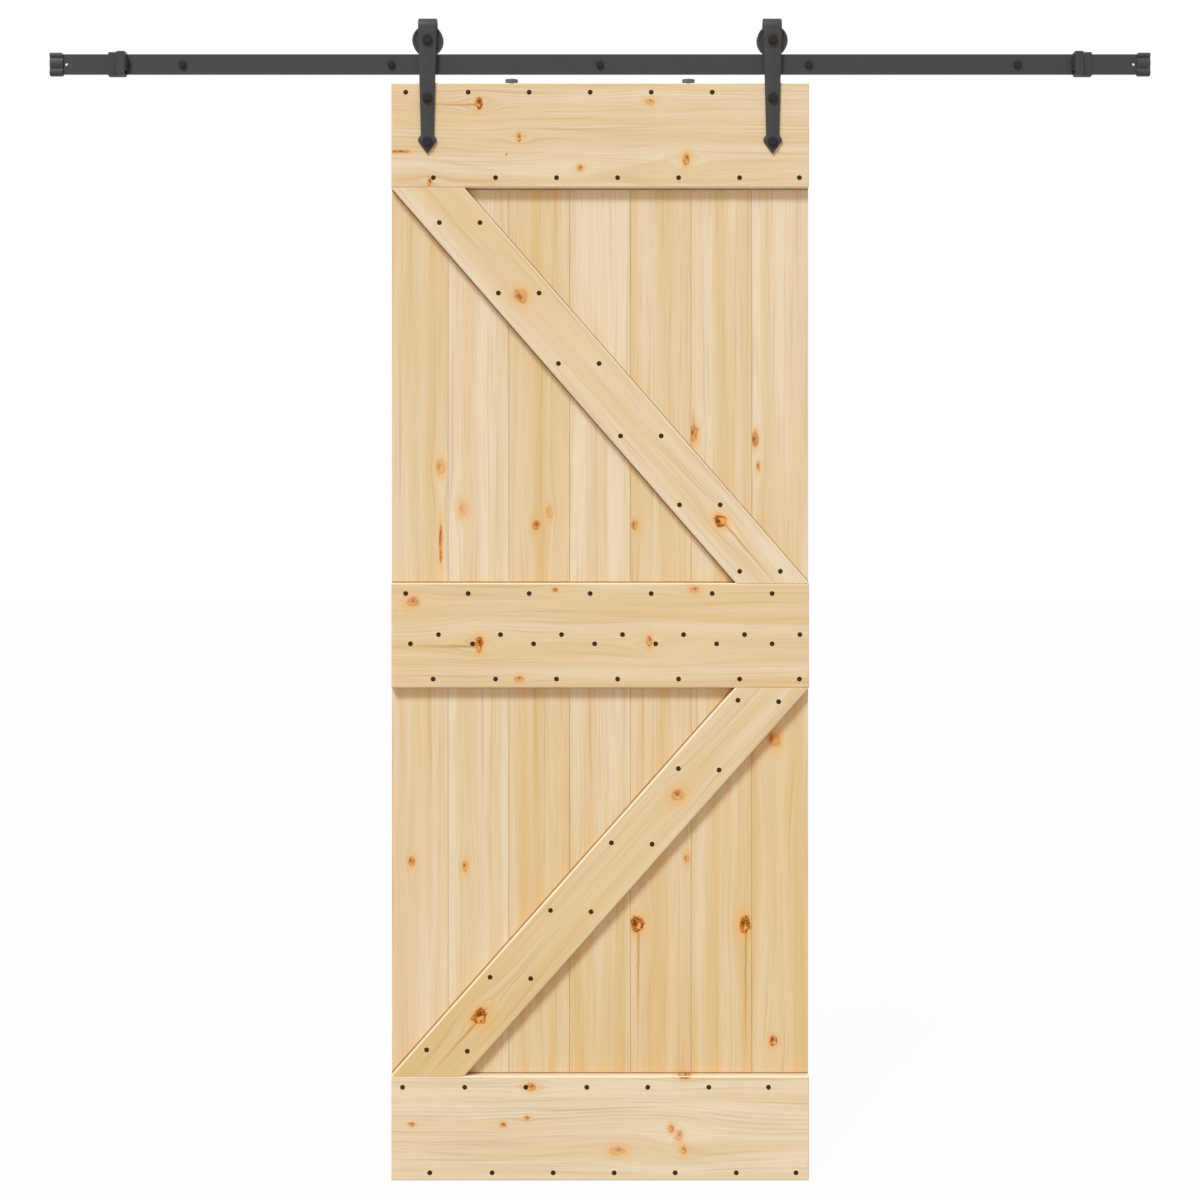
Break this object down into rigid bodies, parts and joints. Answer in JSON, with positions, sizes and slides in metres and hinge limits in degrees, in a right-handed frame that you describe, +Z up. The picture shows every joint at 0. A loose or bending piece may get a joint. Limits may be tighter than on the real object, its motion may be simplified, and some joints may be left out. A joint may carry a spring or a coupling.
{
  "type": "sliding barn door",
  "caption": "Braced pine barn door leaf hung by arrow strap hangers with grooved wheels from a flat wall track with end stops; rolls sideways to cover an opening.",
  "frame": {"origin": "on the wall plane, on the axis of the middle wall bolt, at the middle height of the track", "axes": "+X along the track to the right seen from the room, +Y into the wall, +Z up"},
  "size_m": [2.1084, 0.1084, 2.2251],
  "materials": {
    "pine_boards": "matte",
    "pine_frame": "matte",
    "dark_screws": "satin",
    "black_steel": "matte",
    "black_fasteners": "satin",
    "wheel_nylon": "satin",
    "bearing_steel": "satin",
    "grey_plastic": "matte",
    "bumper_rubber": "matte"
  },
  "bodies": {
    "track": {"track_rail": "black_steel", "wall_spacers": "black_steel", "wall_bolts": "black_fasteners", "stop_body_left": "black_steel", "stop_body_right": "black_steel", "stop_bumper_left": "bumper_rubber", "stop_bumper_right": "bumper_rubber", "stop_grub_screws": "black_fasteners", "end_cap_left": "grey_plastic", "end_cap_right": "grey_plastic"},
    "door": {"anti_jump_discs": "grey_plastic", "axle_bolts": "black_fasteners", "axle_nuts": "black_fasteners", "axle_sleeves": "black_steel", "board_1": "pine_boards", "board_2": "pine_boards", "board_3": "pine_boards", "board_4": "pine_boards", "board_5": "pine_boards", "board_6": "pine_boards", "board_7": "pine_boards", "bottom_rail": "pine_frame", "bottom_rail_screws": "dark_screws", "disc_screws": "dark_screws", "hanger_strap_left": "black_steel", "hanger_strap_right": "black_steel", "lower_brace": "pine_frame", "lower_brace_screws": "dark_screws", "middle_rail": "pine_frame", "middle_rail_screws": "dark_screws", "sleeve_nuts": "black_fasteners", "strap_bolts": "black_fasteners", "top_rail": "pine_frame", "top_rail_screws": "dark_screws", "upper_brace": "pine_frame", "upper_brace_screws": "dark_screws"},
    "wheel_left": {"wheel_left": "wheel_nylon", "wheel_bearing_left": "bearing_steel"},
    "wheel_right": {"wheel_right": "wheel_nylon", "wheel_bearing_right": "bearing_steel"}
  },
  "joints": [
    {"name": "door_slide", "type": "slide", "parent": "track", "child": "door", "axis": [1, 0, 0], "range_m": [-0.556, 0.556]},
    {"name": "wheel_left_spin", "type": "hinge", "parent": "door", "child": "wheel_left", "pos_m": [-0.33, -0.035, 0.0452], "axis": [0, 1, 0], "continuous": true},
    {"name": "wheel_right_spin", "type": "hinge", "parent": "door", "child": "wheel_right", "pos_m": [0.33, -0.035, 0.0452], "axis": [0, 1, 0], "continuous": true}
  ],
  "couplings": [
    {"joint": "wheel_left_spin", "follows": "door_slide", "rad_per_m": 38.91},
    {"joint": "wheel_right_spin", "follows": "door_slide", "rad_per_m": 38.91}
  ]
}
